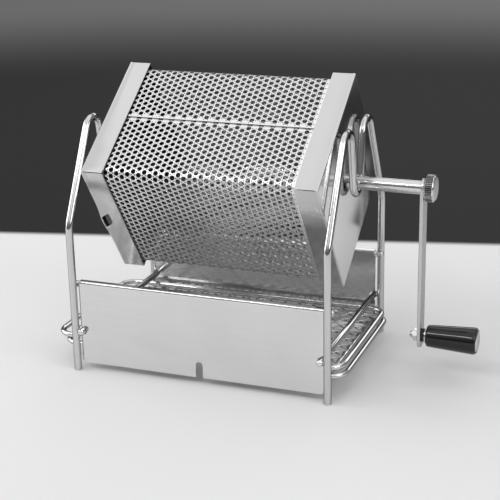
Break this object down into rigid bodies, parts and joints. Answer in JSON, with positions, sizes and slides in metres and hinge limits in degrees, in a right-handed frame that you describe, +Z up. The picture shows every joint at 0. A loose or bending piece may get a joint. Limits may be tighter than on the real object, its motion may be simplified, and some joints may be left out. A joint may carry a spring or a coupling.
{
  "type": "hand-cranked coffee roaster",
  "caption": "Hand-cranked coffee roaster: a perforated square drum turns in two bent wire side frames over a sliding wire net between upright wind plates.",
  "frame": {"origin": "middle of the bounding box, at the height of the table under the feet", "axes": "+X along the axle towards the crank, +Y towards the back, +Z up"},
  "size_m": [0.254, 0.124, 0.1782],
  "materials": {
    "polished_wire": "polished",
    "plate_steel": "satin",
    "drum_steel": "satin",
    "cap_steel": "satin outside, polished end face",
    "turned_steel": "bright turned",
    "dark_steel": "dark",
    "grip_black": "gloss"
  },
  "bodies": {
    "frame": {"left_side_frame": "polished_wire", "right_side_frame": "polished_wire", "left_guide_bar": "polished_wire", "right_guide_bar": "polished_wire", "left_rest_bar": "polished_wire", "right_rest_bar": "polished_wire", "front_top_rod": "polished_wire", "rear_top_rod": "polished_wire", "front_wind_plate": "plate_steel", "rear_wind_plate": "plate_steel"},
    "net": {"net_upper_rim": "polished_wire", "net_lower_rim": "polished_wire", "net_mesh": "polished_wire"},
    "drum": {"drum_sheet": "drum_steel", "drum_crank_cap": "cap_steel", "axle_tube": "turned_steel", "axle_plug": "turned_steel", "crank_arm": "turned_steel", "handle_screw": "turned_steel", "handle_nut": "turned_steel", "handle_collar": "dark_steel", "handle_washer": "turned_steel"},
    "lid": {"drum_loading_cap": "cap_steel", "axle_stub": "turned_steel"},
    "thumbscrew": {"crank_thumbscrew": "turned_steel"},
    "grip": {"handle_grip": "grip_black"}
  },
  "joints": [
    {"name": "net_slide", "type": "slide", "parent": "frame", "child": "net", "axis": [1, 0, 0], "range_m": [-0.15, 0.027]},
    {"name": "drum_spin", "type": "hinge", "parent": "frame", "child": "drum", "pos_m": [-0.02817, 0, 0.1162], "axis": [1, 0, 0], "continuous": true},
    {"name": "lid_slide", "type": "slide", "parent": "drum", "child": "lid", "axis": [-1, 0, 0], "range_m": [0, 0.009]},
    {"name": "thumbscrew_turn", "type": "hinge", "parent": "drum", "child": "thumbscrew", "pos_m": [-0.02817, 0, 0.1162], "axis": [1, 0, 0], "range_deg": [0, 1440]},
    {"name": "grip_spin", "type": "hinge", "parent": "drum", "child": "grip", "pos_m": [0.11182, 0, 0.0252], "axis": [1, 0, 0], "continuous": true}
  ]
}
